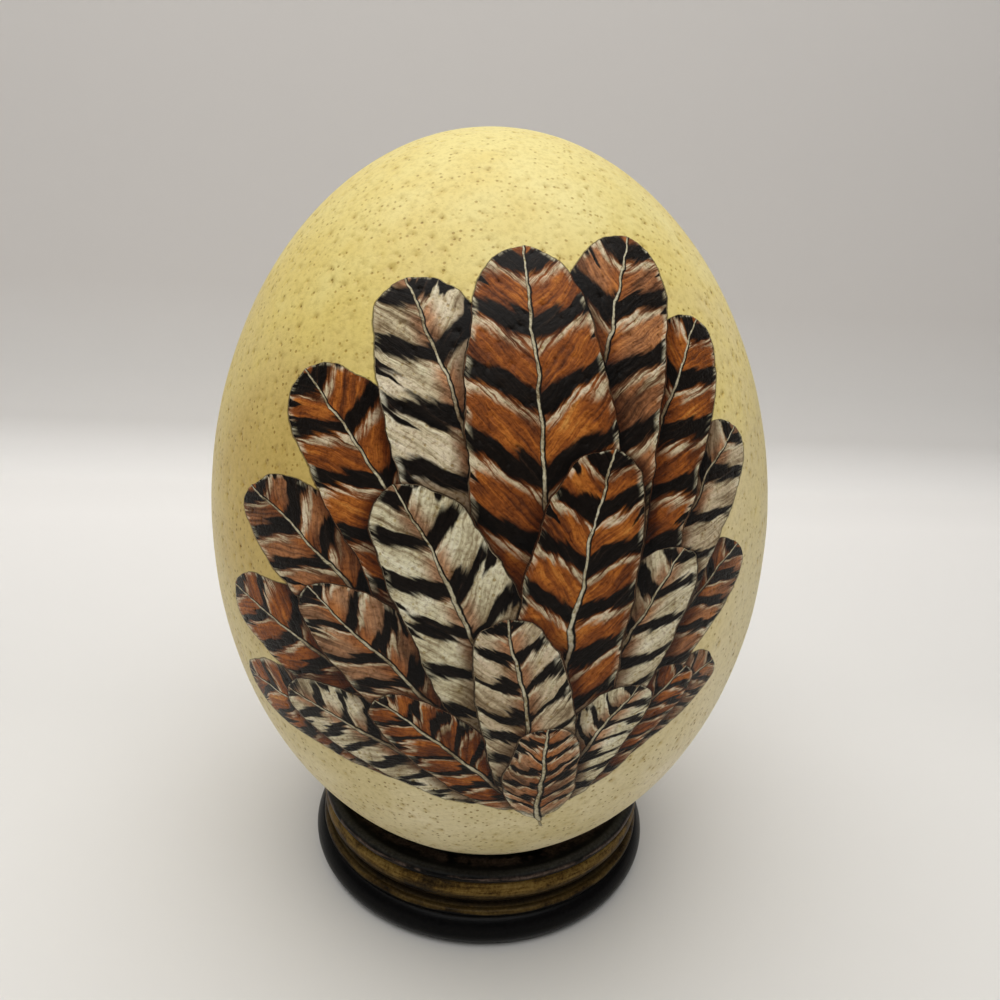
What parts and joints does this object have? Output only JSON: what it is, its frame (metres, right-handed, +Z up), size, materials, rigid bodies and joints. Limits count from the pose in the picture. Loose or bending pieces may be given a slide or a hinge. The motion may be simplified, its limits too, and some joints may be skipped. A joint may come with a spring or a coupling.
{
  "type": "painted ostrich egg on stand",
  "caption": "Blown ostrich egg with a painted front, resting upright in a low turned wooden ring stand.",
  "frame": {"origin": "on the table under the middle of the egg", "axes": "+Z up along the egg's length, -Y towards the painted front, +X to the right seen from the front"},
  "size_m": [0.121, 0.121, 0.1652],
  "materials": {
    "eggshell": "satin",
    "black_and_gold_wood": "satin"
  },
  "bodies": {
    "root": {"egg": "eggshell", "stand": "black_and_gold_wood"}
  },
  "joints": []
}
